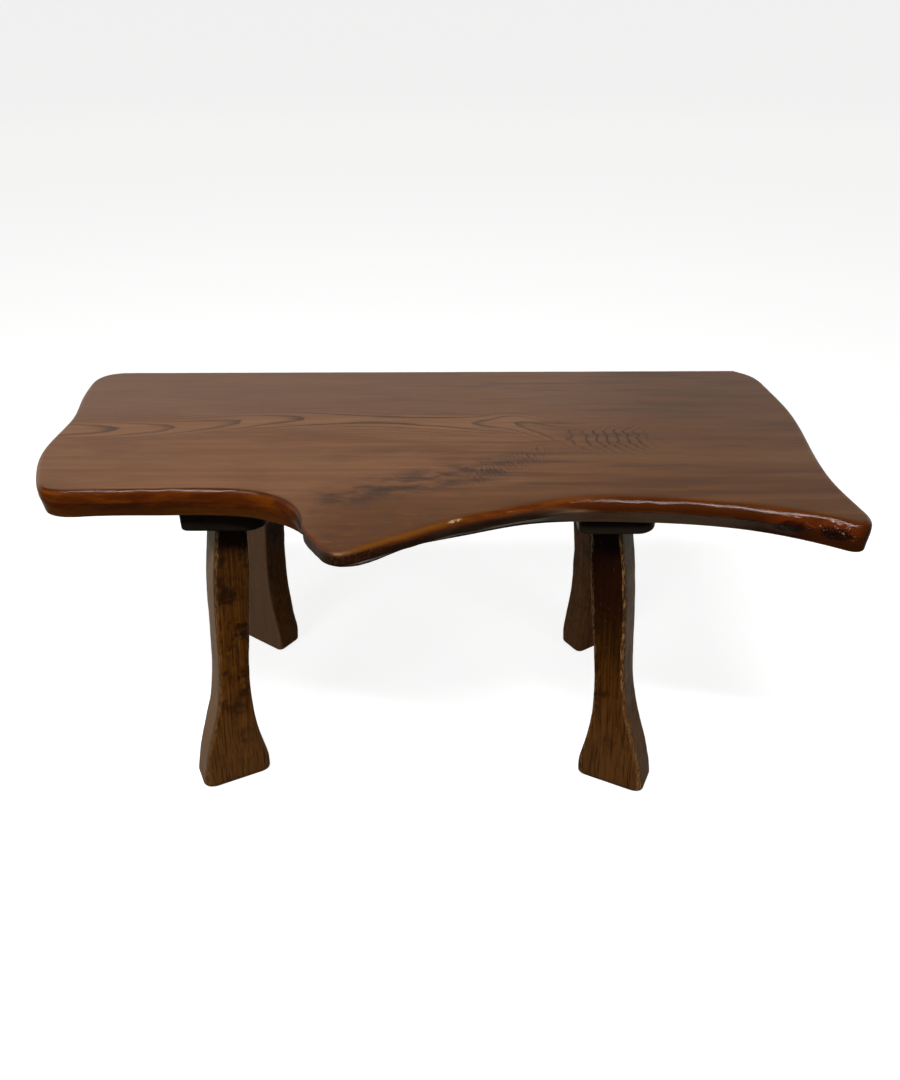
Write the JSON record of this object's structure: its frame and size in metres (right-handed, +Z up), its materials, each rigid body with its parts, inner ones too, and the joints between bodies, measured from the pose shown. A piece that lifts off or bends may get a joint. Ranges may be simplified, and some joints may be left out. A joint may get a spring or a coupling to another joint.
{
  "type": "rustic live-edge bench",
  "caption": "Low rustic bench or side table: thick live-edge board on battens, with splayed, bandsawn wooden legs.",
  "frame": {"origin": "middle of the bounding box at floor level", "axes": "+X along the board, +Y towards its straight back edge, +Z up"},
  "size_m": [0.8904, 0.4815, 0.434],
  "materials": {
    "board_wood": "brown stained softwood under satin varnish, glossy along the live edge",
    "batten_wood": "dark walnut stain, satin",
    "leg_wood": "dark walnut stain, worn along the arrises",
    "wedge_wood": "bare hardwood",
    "screw_steel": "dull, aged"
  },
  "bodies": {
    "root": {"board": "board_wood", "batten_left": "batten_wood", "batten_right": "batten_wood", "leg_front_left": "leg_wood", "leg_front_right": "leg_wood", "leg_rear_left": "leg_wood", "leg_rear_right": "leg_wood", "tenon_wedge_front_left": "wedge_wood", "tenon_wedge_front_right": "wedge_wood", "tenon_wedge_rear_left": "wedge_wood", "tenon_wedge_rear_right": "wedge_wood", "batten_screws_left": "screw_steel", "batten_screws_right": "screw_steel"}
  },
  "joints": []
}
